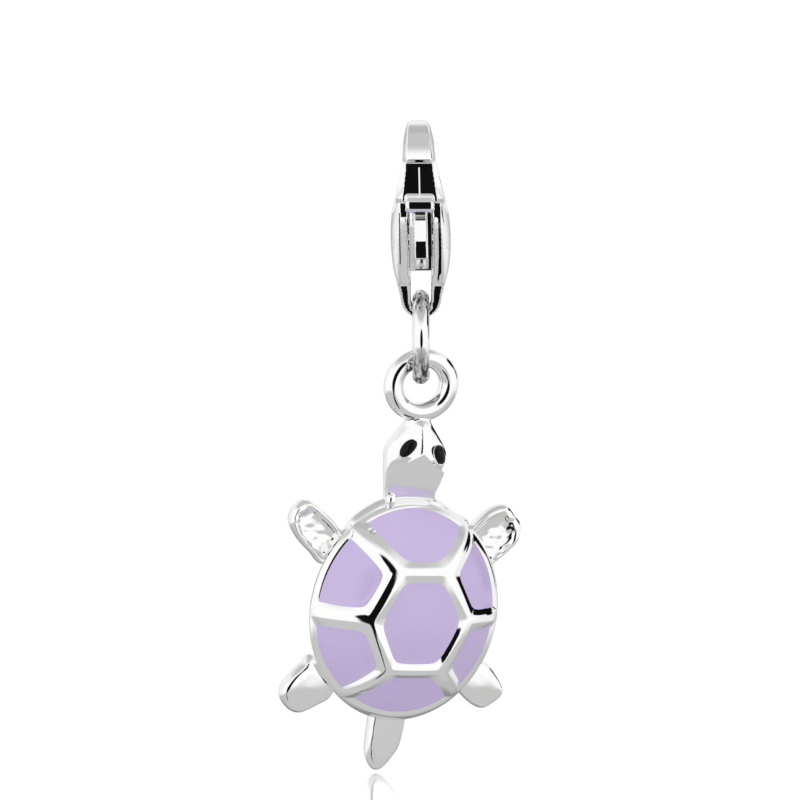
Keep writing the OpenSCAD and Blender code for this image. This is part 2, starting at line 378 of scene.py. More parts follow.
cast_silver = silver("cast_silver", (0.95, 0.95, 0.945), 0.06)
wire_silver = silver("wire_silver", (0.93, 0.93, 0.935), 0.08)
ring_silver = silver("ring_silver", (0.93, 0.93, 0.935), 0.08, "rub")
lilac = enamel("lilac_enamel", (0.54, 0.44, 0.715), (0.61, 0.51, 0.785), 0.18, 0.5)
black = enamel("black_enamel", (0.004, 0.004, 0.005), (0.007, 0.007, 0.008), 0.08, 0.15)


# Clasp
# A row is height, half width, depth in front, depth behind
CLASP_ROWS = [
    (1.0, 0.34, 0.4, 0.4), (0.93, 0.5, 0.95, 0.95), (0.62, 0.63, 1.62, 1.7), (0, 0.765, 2.03, 2.16),
    (-0.6, 0.885, 2.22, 2.35), (-1.3, 1.035, 2.3, 2.45), (-2.3, 1.245, 2.33, 2.5),
    (-3.5, 1.41, 2.25, 2.38), (-4.5, 1.5, 2.08, 2.18), (-5.6, 1.4775, 1.8, 1.89),
    (-6.5, 1.365, 1.52, 1.59), (-7.2, 1.185, 1.225, 1.225), (-7.7, 1.065, 0.97, 0.88),
    (-8, 1.005, 0.82, 0.6), (-8.3, 0.9, 0.68, 0.36), (-8.55, 0.75, 0.58, 0.28), (-8.76, 0.54, 0.48, 0.2)]
CLASP_LEVELS, CLASP_SIDES, CLASP_SQUARENESS = 64, 96, 2.6
# The grain of the clasp's cast skin
CLASP_GRAIN = 0.045
# Heights below and above all of the clasp, and a length that goes right through it
BELOW, ABOVE, THROUGH = -9.5, 2, 4
# The front is flat from cheek to cheek, this share of the full depth, on the nose and on the cheeks
NOSE_SHARE, CHEEK_SHARE = 0.9, 0.8
# The nose leans back from its foot up, and the cheeks start below its end
NOSE_END, NOSE_FOOT, NOSE_LEAN = -2.2, -1.6, 0.17
# Where the front's outline turns back, past the clasp's foot and top
FRONT_FOOT_Y, FRONT_TOP_Y = -0.2, -0.1
# The cheeks' tops lean back from here up
CHEEK_TOP, CHEEK_LEAN = -3.45, 0.28
# A flat strip runs down the front of each cheek, a little proud and turned in
# A groove runs along its outer side. Each has its left and right edges, and a groove has its top height
STRIPS = {-1: (-1.0, -0.68), 1: (0.57, 0.87)}
GROOVES = {-1: (-1.07, -1.01, -3.2), 1: (0.89, 1.02, -2.75)}
STRIP_PROUD, STRIP_TURN, GROOVE_D = 0.06, math.radians(13), 0.05
STRIP_BACK = 0.5
# The two ends are flat in front below their top, and lean back
# A narrow strip runs on along their inner edges
END_TOP, END_FRONT, END_LEAN = -7.05, 0.62, -0.26
END_STRIP, END_STRIP_FOOT = (0.5, 0.57), -8.3
# The hook's opening flares towards its sides, by this much for each square millimetre
HOOK_FLARE = 0.33
# How far inside the opening the flare starts, how far out it goes, and in how many steps
FLARE_START, FLARE_HALF_W, FLARE_STEPS = 0.02, 1.6, 32
# Above this height the clasp leans over to its left by this much for each millimetre
SWAY_Z, SWAY = -5.6, 0.022
# The hook's opening is round from the nose over to behind, between these degrees, and has its own floor
HOOK_R, HOOK_Y, HOOK_ARC = 1.5, -0.1, (180, -8)
HOOK_FLOOR = [(1.38, -2.2), (1.05, -3.1), (0.3, -3.45), (-1, -3.1), (-2.4, -2.45), (-4, -2.45), (-4, -2),
              (-1.6, -2)]
PIVOT = (0, -0.9, -4.9)
# The rivet fits tightly in the cheeks, and the lever runs on it with a little more room
RIVET_R, RIVET_GAP, LEVER_PIN_GAP = 0.35, 0.012, 0.03
# The nose ends on a round about the rivet, which the gate just clears, and the mouth is open below it
NOSE_END_R, MOUTH_ARC, MOUTH_FOOT = 4.32, (143, 79), -2.6
GATE_GAP = 0.05
# How wide the lever's slot and the lever are, how far the slot reaches, and the top of the tail's slot
LEVER_SLOT_W, LEVER_W = 1.24, 1.14
SLOT_BACK, SLOT_FOOT, SLOT_TOP = 0.9, -6.55, -2.05
TAIL_SLOT_TOP = -5.6


def clasp_ring(row, angle):
    height, half, front, back = row
    s = powered(math.sin(angle), 2 / CLASP_SQUARENESS)
    return Vector((half * powered(math.cos(angle), 2 / CLASP_SQUARENESS),
                   (back - front) / 2 + (back + front) / 2 * s, height))


def arc(y, z, r, start, end, steps):
    turns = [math.radians(start + (end - start) * i / steps) for i in range(steps + 1)]
    return [(y + r * math.cos(t), z + r * math.sin(t)) for t in turns]


def hook_ring(x, angle):
    r = HOOK_R - FLARE_START + HOOK_FLARE * x * x
    return Vector((x, HOOK_Y + r * math.cos(angle), -HOOK_R + r * math.sin(angle)))


def swayed(piece):
    for v in piece.data.vertices:
        v.co.x -= SWAY * max(v.co.z - SWAY_Z, 0)


def raise_strip(keep, side, left, right, outline):
    """Adds a strip to the front that the clasp is cut to, turned in towards the middle."""
    bar = plate("strip", outline, right - left)
    stand(bar, Matrix.Translation(((left + right) / 2, 0, 0))
          @ turned(side * STRIP_TURN, "Z", (0, outline[0][0], 0)))
    combine(keep, bar, "UNION")


def clasp_skin():
    """The clasp's full round form, before anything is cut from it."""
    return stack("skin", spread(CLASP_ROWS, CLASP_LEVELS), CLASP_SIDES, clasp_ring)


def make_clasp():
    """The hook, cheeks and ends, cut from one round form, with the bar that the ring hangs on."""
    body = clasp_skin()
    front, cheek, end = [], [], []
    for height, _, ahead, _ in spread(CLASP_ROWS, CLASP_LEVELS):
        if height > NOSE_END:
            depth = ahead * NOSE_SHARE - max(height - NOSE_FOOT, 0) * NOSE_LEAN
        elif height > END_TOP:
            depth = ahead * CHEEK_SHARE - max(height - CHEEK_TOP, 0) * CHEEK_LEAN
            cheek.append((-depth, height))
        else:
            depth = END_FRONT + (END_TOP - height) * END_LEAN
            end.append((-depth, height))
        front.append((-depth, height))
    back = [(FRONT_FOOT_Y, BELOW), (THROUGH, BELOW), (THROUGH, ABOVE), (FRONT_TOP_Y, ABOVE)]
    keep = plate("front", front + back, THROUGH)
    for side, (left, right) in STRIPS.items():
        line = [(y - STRIP_PROUD, z) for y, z in cheek if z < CHEEK_TOP]
        line += [(STRIP_BACK, END_TOP), (STRIP_BACK, CHEEK_TOP)]
        raise_strip(keep, side, left, right, line)
        left, right = sorted((side * END_STRIP[0], side * END_STRIP[1]))
        line = [(y - STRIP_PROUD, z) for y, z in end]
        line += [(STRIP_BACK, END_STRIP_FOOT), (STRIP_BACK, END_TOP)]
        raise_strip(keep, side, left, right, line)
    combine(body, keep, "INTERSECT")
    opening = arc(HOOK_Y, -HOOK_R, HOOK_R, *HOOK_ARC, steps=48) + HOOK_FLOOR
    combine(body, plate("hook", opening, THROUGH), "DIFFERENCE")
    across = [FLARE_HALF_W * (2 * i / FLARE_STEPS - 1) for i in range(FLARE_STEPS + 1)]
    combine(body, stack("flare", across, CLASP_SIDES, hook_ring), "DIFFERENCE")
    mouth = arc(PIVOT[1], PIVOT[2], NOSE_END_R, *MOUTH_ARC, steps=32)
    mouth += [(HOOK_Y, MOUTH_FOOT), (-THROUGH, MOUTH_FOOT)]
    combine(body, plate("mouth", mouth, THROUGH), "DIFFERENCE")
    half = LEVER_SLOT_W / 2
    combine(body, block("slot", (-half, -THROUGH, SLOT_FOOT), (half, SLOT_BACK, SLOT_TOP)), "DIFFERENCE")
    half = TAIL_SLOT_W / 2
    combine(body, block("tail", (-half, -THROUGH, BELOW), (half, THROUGH, TAIL_SLOT_TOP)), "DIFFERENCE")
    bar = hoop("bar", TAIL_R, TAIL_BAR_R, 96, 32, Matrix.Translation((0, 0, TAIL_Z)))
    combine(bar, block("above", (-THROUGH, -THROUGH, TAIL_Z), (THROUGH, THROUGH, 0)), "DIFFERENCE")
    before = [(-END_FRONT - (END_TOP - z) * END_LEAN, z) for z in (END_TOP, BELOW)]
    before += [(-THROUGH, BELOW), (-THROUGH, END_TOP)]
    combine(bar, plate("before", before, THROUGH), "DIFFERENCE")
    body = join("clasp", body, bar)
    cast(body, CLASP_GRAIN, passes=3)
    combine(body, pin("hole", RIVET_R + RIVET_GAP, THROUGH, PIVOT), "DIFFERENCE")
    for left, right, top in GROOVES.values():
        floor = [(y + GROOVE_D, z) for y, z in cheek if z < top]
        groove = plate("groove", floor + [(-THROUGH, END_TOP), (-THROUGH, top)], right - left)
        stand(groove, Matrix.Translation(((left + right) / 2, 0, 0)))
        combine(body, groove, "DIFFERENCE")
    swayed(body)
    return body


# The lever from its gate down to its tongue and back up inside, as (y, z)
LEVER_OUTLINE = [
    (-2.0, 0), (-2.06, -1.1), (-2.2, -2.4), (-2.2, -3.15), (-1.95, -3.25), (-1.9, -4), (-1.77, -4.9),
    (-1.57, -5.7), (-1.36, -6.32), (-0.9, -6.38), (-0.35, -5.9), (0, -5.2), (0.05, -4.7), (-0.3, -4),
    (-0.9, -3.6), (-1.45, -3.2), (-1.62, -2.4), (-1.64, -1.6), (-1.5, 0)]
LEVER_GRAIN, REACH_STEPS = 0.028, 192
# The gate arm's right edge down its length, as (half width, height), and where the narrow part starts
GATE_FRONT = [(0.64, 0), (0.71, -1.1), (0.87, -2.37), (0.92, -2.7)]
GATE_FOOT = -2.73
# The fine ridge down the gate: its width, its top, its foot, its middle's depth at the top, and its lean
RIDGE_W, RIDGE_TOP, RIDGE_FOOT, RIDGE_Y = 0.05, -1, -2.4, -2.065
RIDGE_LEAN = math.atan(0.14 / 1.3)
# The nub's side outline, its half width and the round of its edges
NUB_OUTLINE = [(-2.0, -2.36), (-2.6, -2.36), (-2.95, -2.42), (-3.11, -2.58), (-3.11, -2.95),
               (-2.95, -3.12), (-2.0, -3.2)]
NUB_HALF_W, NUB_ROUND = 0.7, 0.16
# The tongue's left side is turned forwards from the rib's edge out, between two heights, in front of
# a depth
TONGUE_TURN, TONGUE_HEIGHTS, TONGUE_Y = 0.23, (-6.4, -3.15), -1.2
# The rib down the tongue: its half width and side outline
RIB_HALF_W = 0.3
RIB_OUTLINE = [(-1.88, -3.22), (-2.16, -3.62), (-2.3, -3.98), (-2.43, -4.33), (-2.56, -4.68),
               (-2.58, -5.0), (-2.58, -5.5), (-2.46, -5.62), (-1.9, -6.15), (-1.2, -6.15), (-1.2, -3.3)]
# The recess beside the rib, as its two corners, and the four-sided point on the rib's foot
RECESS = ((0.3, -3, -6.2), (0.8, -1.6, -3.3))
POINT_R, POINT_H = 0.38, 0.24
POINT_PLACE, POINT_LEAN = (0, -2.13, -5.9), math.radians(129)


def make_lever():
    """The gate arm with its nub and ridge, and the tongue with its rib, recess and point."""
    lever = plate("lever", LEVER_OUTLINE, THROUGH)
    reach = arc(PIVOT[1], PIVOT[2], NOSE_END_R - GATE_GAP, 0, 360 - 360 / REACH_STEPS, REACH_STEPS - 1)
    combine(lever, plate("reach", reach, THROUGH), "INTERSECT")
    gate = GATE_FRONT + [(LEVER_W / 2, GATE_FOOT), (LEVER_W / 2, BELOW)]
    gate += [(-x, z) for x, z in reversed(gate)]
    front = plate("front", gate, 2 * THROUGH)
    stand(front, Matrix.Rotation(-math.pi / 2, 4, "Z"))
    combine(lever, front, "INTERSECT")
    combine(lever, plate("rib", RIB_OUTLINE, 2 * RIB_HALF_W), "UNION")
    combine(lever, block("recess", *RECESS), "DIFFERENCE")
    nub = plate("nub", NUB_OUTLINE, 2 * NUB_HALF_W)
    modify(nub, "BEVEL", width=NUB_ROUND, segments=4, limit_method="ANGLE", angle_limit=SHARP_FROM)
    combine(lever, nub, "UNION")
    clear_selection()
    bpy.ops.mesh.primitive_cone_add(vertices=4, radius1=POINT_R, radius2=0, depth=POINT_H,
                                    rotation=(0, 0, math.pi / 4))
    point = placed("point", Matrix.Translation(POINT_PLACE) @ Matrix.Rotation(POINT_LEAN, 4, "X"))
    sides = block("sides", (-RIB_HALF_W, -THROUGH, BELOW), (RIB_HALF_W, 0, 0))
    combine(point, sides, "INTERSECT")
    combine(lever, point, "UNION")
    combine(lever, pin("hole", RIVET_R + LEVER_PIN_GAP, THROUGH, PIVOT), "DIFFERENCE")
    cast(lever, LEVER_GRAIN, passes=4)
    for v in lever.data.vertices:
        beside = v.co.y < TONGUE_Y and TONGUE_HEIGHTS[0] < v.co.z < TONGUE_HEIGHTS[1]
        if beside and v.co.x < -RIB_HALF_W:
            v.co.y += TONGUE_TURN * (v.co.x + RIB_HALF_W)
    half = RIDGE_W / 2
    ridge = block("ridge", (-half, -half, RIDGE_FOOT), (half, half, RIDGE_TOP))
    stand(ridge, Matrix.Translation((0, RIDGE_Y, 0)) @ turned(-RIDGE_LEAN, "X", (0, 0, RIDGE_TOP))
          @ Matrix.Rotation(math.pi / 4, 4, "Z"))
    combine(ridge, plate("reach", reach, THROUGH), "INTERSECT")
    combine(lever, ridge, "UNION")
    swayed(lever)
    return lever


def make_rivet():
    """A round pin with its ends filed flush with the cheeks."""
    rivet = pin("rivet", RIVET_R, THROUGH, PIVOT)
    combine(rivet, clasp_skin(), "INTERSECT")
    swayed(rivet)
    return rivet


# Jump ring
# Where the seam is, and its depth and width
SEAM_AT, SEAM_DEPTH, SEAM_WIDTH = math.radians(25), 0.05, 0.018
# How deep the rub goes, as a share of the wire's radius, and the sines between which it sets in
# above the ring's middle and below it
RUB_DEPTH, RUB_ABOVE, RUB_BELOW = 0.16, (0.6, 0.86), (0.05, 0.6)
# The length and width of its furrows, and how much finer and fainter the small ones are
RUB_LONG, RUB_WIDE, RUB_FINER, RUB_FAINTER = 0.5, 0.15, 2.3, 0.5
# The level at which the ridges are worn flat, and the middle level
RUB_TOP, RUB_MIDDLE = 0.5, 0.4
# How dark the metal is at level nought, and how fast it darkens below
STAIN_START, STAIN_GAIN = 0.65, 1.5


def make_ring():
    """Round wire spun into a ring, rubbed above and below, with a hairline where its ends meet."""
    clear_selection()
    bpy.ops.mesh.primitive_circle_add(vertices=64, radius=RING_WIRE_R, location=(0, RING_R, 0))
    ring = placed("ring")
    edit(ring,
         lambda: bpy.ops.mesh.spin(steps=360, angle=math.tau, center=(0, 0, 0), axis=(1, 0, 0)),
         lambda: bpy.ops.mesh.select_all(action="SELECT"),
         lambda: bpy.ops.mesh.remove_doubles(threshold=0.001))
    face_out(ring)
    stain = ring.data.attributes.new("rub", "FLOAT", "POINT")
    for v in ring.data.vertices:
        at = math.atan2(v.co.z, v.co.y)
        middle = Vector((0, math.cos(at), math.sin(at))) * RING_R
        out = v.co - middle
        seam = SEAM_DEPTH * math.exp(-((at - SEAM_AT) / SEAM_WIDTH) ** 2)
        start, end = RUB_ABOVE if at > 0 else RUB_BELOW
        share = min(max((abs(math.sin(at)) - start) / (end - start), 0), 1)
        place = Vector((at * RING_R / RUB_LONG, out.x / RUB_WIDE, (v.co.length - RING_R) / RUB_WIDE))
        rub = noise.noise(place) + RUB_FAINTER * noise.noise(place * RUB_FINER)
        v.co = middle + out * (1 - seam + share * RUB_DEPTH * (min(rub, RUB_TOP) - RUB_MIDDLE))
        stain.data[v.index].value = share * min(max(STAIN_START - STAIN_GAIN * rub, 0), 1)
    return ring


# Turtle


def turtle_pose():
    return (Matrix.Translation((0, 0, LOOP_Z)) @ Matrix.Rotation(LEAN, 4, "Y")
            @ Matrix.Rotation(TURN, 4, "Z") @ Matrix.Rotation(NOD, 4, "X"))


ON_SHELL = Matrix.Translation((0, RIM_Y, SHELL_UP - SHELL_DROP))
LENGTH_SHARE = HALF_L / HALF_W
BALL_R = HALF_W / math.sqrt(1 - CUT_SHARE ** 2)
HEIGHT_SHARE = DOME_H / (BALL_R * (1 - CUT_SHARE))
DOME_MIDDLE = HEIGHT_SHARE * CUT_SHARE * BALL_R

# Raised bars: half the flat crown, half the width where the enamel starts, and the flank's slope
BAR_CROWN, BAR_HALF_W, FLANK_SLOPE = 0.15, 0.5, 0.5
EDGE_SOFTNESS = 0.05
# Where the rim's inner flank and the field's edge start, and how steep each is
RIM_FLANK, FIELD_FLANK = (0.05, 2.5), (-0.24, 0.9)
# How deep the cells are, and how far below the dome the enamel lies in them
CELL_SINK = 0.34
ENAMEL_DIP = 0.2
# How wide each bar of the hexagon is, from the top one clockwise, and each outer bar, from the upper
# left one
HEXAGON_SPREAD = [1.04, 0.96, 0.74, 0.82, 0.9, 0.94]
BAR_SPREAD = [1.25, 1.14, 0.84, 1.1, 0.9, 1.16]
# How much wider the crowns of some are, in the same order
HEXAGON_FLAT = [0, 0, 0.08, 0, 0, 0.07]
BAR_FLAT = [0, 0, 0.1, 0, 0, 0.04]
# The field of the cells lies a little off the middle, which leaves the rim thinner at its upper left
FIELD_X, FIELD_Z = -0.22, 0.2
FIELD_HALF_W, FIELD_HALF_L = 4.75, 5.24


def dome_point(turn):
    """A point of the dome's half profile, as (across, depth), from its top at 0 to the rim at 1."""
    a = turn * math.acos(CUT_SHARE)
    return BALL_R * math.sin(a), DOME_MIDDLE - HEIGHT_SHARE * BALL_R * math.cos(a)


def spun(name, profile, steps):
    """A skin spun about the Y axis from a half profile, then stretched to the shell's length."""
    mesh = bpy.data.meshes.new(name)
    mesh.from_pydata([(r, y, 0) for r, y in profile], [(i, i + 1) for i in range(len(profile) - 1)], [])
    piece = bpy.data.objects.new(name, mesh)
    bpy.context.collection.objects.link(piece)
    edit(piece,
         lambda: bpy.ops.mesh.spin(steps=steps, angle=math.tau, center=(0, 0, 0), axis=(0, 1, 0)),
         lambda: bpy.ops.mesh.select_all(action="SELECT"),
         lambda: bpy.ops.mesh.remove_doubles(threshold=0.0005))
    stand(piece, Matrix.Diagonal((1, 1, LENGTH_SHARE, 1)))
    face_out(piece)
    return piece


def from_line(x, z, a, b):
    """Distance in plan from a bar's middle line."""
    ax, az, dx, dz = a[0], a[1], b[0] - a[0], b[1] - a[1]
    t = min(max(((x - ax) * dx + (z - az) * dz) / (dx * dx + dz * dz), 0), 1)
    return math.hypot(x - ax - t * dx, z - az - t * dz)


BARS = [(HEXAGON[i], HEXAGON[(i + 1) % 6], HEXAGON_SPREAD[i], HEXAGON_FLAT[i]) for i in range(6)]
BARS += zip(HEXAGON, BAR_ENDS, BAR_SPREAD, BAR_FLAT)
CORNER_ROUNDING, LEAST_DISTANCE = 4, 0.01


def from_bars(x, z):
    """Distance in plan from all bars at once, a little shorter in the corners, which rounds them."""
    near = [max((from_line(x, z, a, b) - flat) / wider, LEAST_DISTANCE) for a, b, wider, flat in BARS]
    return sum(d ** -CORNER_ROUNDING for d in near) ** (-1 / CORNER_ROUNDING)


def from_edge(x, z):
    return HALF_W - math.hypot(x, z / LENGTH_SHARE)


def into_field(x, z):
    """How far inside the field of the cells a point lies."""
    return FIELD_HALF_W - math.hypot(x - FIELD_X, (z - FIELD_Z) * FIELD_HALF_W / FIELD_HALF_L)


def flank(distance, start, slope):
    """Depth of a straight flank that starts softly at a distance."""
    past = distance - start
    return slope * (past + math.sqrt(past * past + EDGE_SOFTNESS ** 2)) / 2


def cell_depth(x, z):
    """How deep the dome is pressed in at a point."""
    bar = flank(from_bars(x, z), BAR_CROWN, FLANK_SLOPE)
    rim = min(flank(from_edge(x, z), *RIM_FLANK), flank(into_field(x, z), *FIELD_FLANK))
    return min(bar, rim, CELL_SINK)


def dome_out(co):
    """Outward direction of the dome at a point."""
    steep = (co.y - DOME_MIDDLE) / HEIGHT_SHARE ** 2
    return Vector((co.x, steep, co.z / LENGTH_SHARE ** 2)).normalized()


DOME_STEPS, SHELL_SIDES = 110, 288


def make_shell():
    """The dome with its cells pressed in, the rim's wall and the belly, as one skin."""
    dome = [dome_point(i / DOME_STEPS) for i in range(DOME_STEPS)]
    back = HALF_W - RIM_TAPER
    wall = [(HALF_W, -0.01), (HALF_W - 0.02, 0.09), (HALF_W - 0.1, 0.35), (back - 0.03, RIM_H - 0.05)]
    wall = [tuple(point) for point in spread(wall, 12)]
    belly = [(back * math.cos(a), RIM_H + BELLY_H * back / HALF_W * math.sin(a))
             for a in (math.radians(3 * i) for i in range(1, 31))]
    shell = spun("shell", dome + wall + belly, SHELL_SIDES)
    for v in shell.data.vertices:
        if v.co.y < 0:
            v.co -= dome_out(v.co) * cell_depth(v.co.x, v.co.z)
    return shell


LIMB_SIDES = 64


def pillow(name, outline, middle, layers):
    """A form whose outline in plan swells and shrinks about its middle. A layer is depth, then size."""
    count = len(outline)

    def ring(layer, angle):
        at = angle / math.tau % 1 * count
        i = int(at) % count
        x, z = between(*[outline[(i + k) % count] for k in (-1, 0, 1, 2)], at - int(at))
        depth, size = layer
        return Vector((middle[0] + (x - middle[0]) * size, depth, middle[1] + (z - middle[1]) * size))

    return stack(name, layers, LIMB_SIDES, ring)


# Outlines in plan, as (across, along) from the middle of the shell
LEG_FRONT_LEFT = [(-3.8, 4.3), (-4.89, 5.22), (-5.55, 5.53), (-6.15, 5.12), (-6.3, 4.39), (-5.81, 3.54),
                  (-5.02, 2.78), (-4.3, 2.2), (-2.4, 2.4)]
LEG_FRONT_RIGHT = [(3.3, 3.9), (4.12, 4.82), (4.67, 5.19), (5.11, 5.32), (5.48, 5.24), (5.83, 4.87),
                   (6.19, 4.41), (6.18, 3.6), (5.78, 3.08), (4.93, 2.35), (3.9, 1.8), (2.3, 2.2)]
LEG_REAR_LEFT = [(-4.4, -2.42), (-5.0, -2.89), (-5.66, -3.56), (-6.0, -4.37), (-5.6, -5.1),
                 (-4.89, -5.47), (-3.9, -5.01), (-3.22, -4.51), (-2.9, -3.2)]
LEG_REAR_RIGHT = [(5.0, -2.81), (5.6, -3.4), (5.98, -3.96), (6.05, -4.23), (5.93, -4.59), (5.5, -4.95),
                  (5.01, -5.2), (4.45, -4.99), (3.77, -4.43), (3.0, -3.6), (3.8, -2.4)]
TAIL = [(-1.0, -4.6), (-1.01, -5.41), (-1.04, -7.1), (-0.91, -7.86), (-0.6, -8.32), (-0.32, -8.44),
        (-0.04, -8.3), (0.38, -7.78), (0.75, -7.1), (0.9, -6.0), (0.95, -5.2), (0.95, -4.4)]
SHOULDERS = [(-3.2, 4.2), (-2.65, 4.85), (-1.4, 5.58), (0, 5.9), (1.29, 5.75), (2.62, 4.89),
             (3.42, 4.44), (3, 3), (-3.4, 3)]
# The depth of the limbs' middles, their leans about their roots, and how much the rear legs bow
LIMB_Y, LEG_ROOT, TAIL_ROOT = 0.9, 4, -5
FRONT_LEAN, REAR_LEAN, TAIL_LEAN = math.radians(-1), math.radians(3.5), math.radians(4)
REAR_BOW = 0.06
# Layers through a limb, as (depth, size): rounded, dished in front, and thin as a leaf
ROUND = [(-0.6, 0.02), (-0.6, 0.5), (-0.585, 0.74), (-0.54, 0.87), (-0.44, 0.94), (-0.2, 0.985), (0, 1),
         (0.18, 0.95), (0.34, 0.83), (0.47, 0.64), (0.55, 0.42), (0.59, 0.2), (0.6, 0.02)]
DISHED = [(-0.33, 0.02), (-0.34, 0.4), (-0.36, 0.62), (-0.4, 0.7), (-0.5, 0.79), (-0.51, 0.86),
          (-0.46, 0.92), (-0.3, 0.98), (0, 1), (0.25, 0.96), (0.45, 0.8), (0.56, 0.5), (0.6, 0.2),
          (0.6, 0.02)]
LEAF = [(-0.5, 0.02), (-0.5, 0.74), (-0.46, 0.87), (-0.34, 0.965), (-0.1, 1), (0.2, 0.96), (0.38, 0.8),
        (0.45, 0.5), (0.48, 0.02)]
# Each limb with its outline, the middle that it swells about, and its layers
LIMBS = [
    ("leg", LEG_FRONT_LEFT, (-4.7, 3.8), DISHED), ("leg", LEG_FRONT_RIGHT, (4.5, 3.5), DISHED),
    ("leg", LEG_REAR_LEFT, (-4.7, -4.0), ROUND), ("leg", LEG_REAR_RIGHT, (4.8, -3.9), ROUND),
    ("tail", TAIL, (0, -6.2), LEAF), ("shoulders", SHOULDERS, (0, 4.2), ROUND)]

# Head and neck. A row is height above the shell's middle, half width, side wall, ridge and back
HEAD_ROWS = [
    (9.95, 0.56, 0.2, 0.4, 0.36), (9.6, 0.7, 0.16, 0.82, 0.42), (9.1, 1.04, 0.2, 1.02, 0.5),
    (8.65, 1.34, 0.22, 1.16, 0.58), (8.3, 1.5, 0.19, 1.21, 0.62), (8.05, 1.51, 0.17, 1.22, 0.63),
    (7.8, 1.51, 0.17, 1.2, 0.64), (7.5, 1.48, 0.2, 0.92, 0.65), (7.2, 1.46, 0.32, 0.6, 0.65),
    (6.6, 1.38, 0.3, 0.4, 0.66), (6.0, 1.32, 0.2, 0.25, 0.66), (5.5, 1.28, 0.1, 0.12, 0.64),
    (4.6, 1.22, 0.05, 0.07, 0.6)]
HEAD_LEVELS, HEAD_SIDES, HEAD_SQUARENESS = 60, 72, 10
# How much wider its right side is behind
HEAD_PEAR = 0.08
# How soft its ridge is, and how steeply the brow falls to the right, for 1 to the left
RIDGE_SOFTNESS, ROOF_RIGHT = 0.12, 0.47
# Each eye's half sizes and its middle, how it tilts and turns outwards, and how far back it is cut flat
EYE_SIZES = {-1: (0.31, 0.2, 0.55), 1: (0.32, 0.2, 0.56)}
EYE_PLACES = {-1: (-0.75, -0.84, 8.53), 1: (0.99, -0.89, 8.2)}
EYE_TILT, EYE_FACE = math.radians(34), math.radians(28)
EYE_BACK = 0.12
# How much larger a pit is than its drop, and each one's own shift and size
PIT_MARGIN = 0.07
PIT_SHIFTS, PIT_SIZES = {-1: (-0.02, 0, 0.01), 1: (0.06, 0, -0.02)}, {-1: 1, 1: 1.1}


def head_ring(row, angle):
    height, half, wall, ridge, back = row
    s = powered(math.sin(angle), 2 / HEAD_SQUARENESS)
    x = powered(math.cos(angle), 2 / HEAD_SQUARENESS)
    down = math.hypot(max(-x, ROOF_RIGHT * x), RIDGE_SOFTNESS)
    depth = wall * s - (ridge - wall) * (1 - down) if s < 0 else back * s
    return Vector((half * x * (1 + HEAD_PEAR * s * (x > 0)), depth, height))


# The flat face below the brow: its outline from the front, as (across, height), its profile, as
# (y, height), and the depth of the plate that it is cut from
FACE_OUTLINE = [(-1.81, 7.88), (-0.79, 7.9), (-0.03, 8.26), (0.59, 7.76), (1.31, 7.44), (1.3, 7.0),
                (1.2, 6.2), (1.15, 5.2), (-1.4, 5.2), (-1.58, 6.2), (-1.74, 7.0)]
FACE_PROFILE = [(-1.42, 8.5), (-1.26, 7.84), (-1.1, 7.44), (-0.9, 7.0), (-0.52, 6.2), (-0.2, 5.5),
                (-0.05, 5), (-0.05, 4), (0.2, 4), (0.2, 8.5)]
FACE_DEEP = 3
# How much its top falls and its sides close in towards the back, for each millimetre
FACE_FALL, FACE_TAPER = 0.6, 0.15


def make_face():
    face = plate("face", FACE_OUTLINE, FACE_DEEP)
    stand(face, Matrix.Rotation(-math.pi / 2, 4, "Z"))
    for v in face.data.vertices:
        behind = v.co.y - FACE_PROFILE[1][0]
        v.co.x *= 1 - FACE_TAPER * behind
        v.co.z -= FACE_FALL * behind
    modify(face, "TRIANGULATE")
    combine(face, plate("profile", FACE_PROFILE, 2 * FACE_DEEP), "INTERSECT")
    stand(face, Matrix.Translation((0, 0, -SHELL_DROP)))
    return face


def eye_place(side):
    across, depth, height = EYE_PLACES[side]
    return (Matrix.Translation((across, depth, height - SHELL_DROP))
            @ Matrix.Rotation(side * EYE_FACE, 4, "Z") @ Matrix.Rotation(-side * EYE_TILT, 4, "Y"))


def make_eye(side):
    """A drop of enamel, flat at its back where it sits in its pit."""
    drop = drop_form("eye", EYE_SIZES[side], Matrix())
    edit(drop, lambda: bpy.ops.mesh.bisect(
        plane_co=(0, EYE_BACK, 0), plane_no=(0, 1, 0), use_fill=True, clear_outer=True))
    stand(drop, eye_place(side))
    face_out(drop)
    return drop


# The crumpled fronts of the front legs, as the ends of each one's middle line and its reach
CRUMPLES = [((-5.55, 4.75), (-4.55, 3.35), 0.75), ((5.55, 4.45), (4.55, 3.2), 0.8)]


def crumple(core):
    """Presses an uneven, folded surface into the fronts of the front legs."""
    group = core.vertex_groups.new(name="crumpled")
    for v in core.data.vertices:
        x, y, z = v.co - ON_SHELL.translation
        weight = 0
        for a, b, reach in CRUMPLES:
            weight = max(weight, 1 - (from_line(x, z, a, b) / reach) ** 4)
        if weight > 0 and y < LIMB_Y:
            group.add([v.index], weight, "REPLACE")
    folds = bpy.data.textures.new("folds", "VORONOI")
    folds.noise_scale, folds.distance_metric, folds.weight_1, folds.weight_2 = 0.6, "DISTANCE", -1, 1
    modify(core, "DISPLACE", texture=folds, vertex_group="crumpled", strength=0.14, mid_level=0.35)
    wrinkles = bpy.data.textures.new("wrinkles", "CLOUDS")
    wrinkles.noise_scale, wrinkles.noise_depth = 0.5, 1
    modify(core, "DISPLACE", texture=wrinkles, vertex_group="crumpled", strength=0.1, mid_level=0.5)
    modify(core, "SMOOTH", factor=0.5, iterations=1)


# A drip of metal left at the neck's left foot
DRIP_SIZE, DRIP_PLACE = (0.3, 0.26, 0.42), (-1.22, -0.42, 5.75 - SHELL_DROP)
TURTLE_GRAIN = 0.065


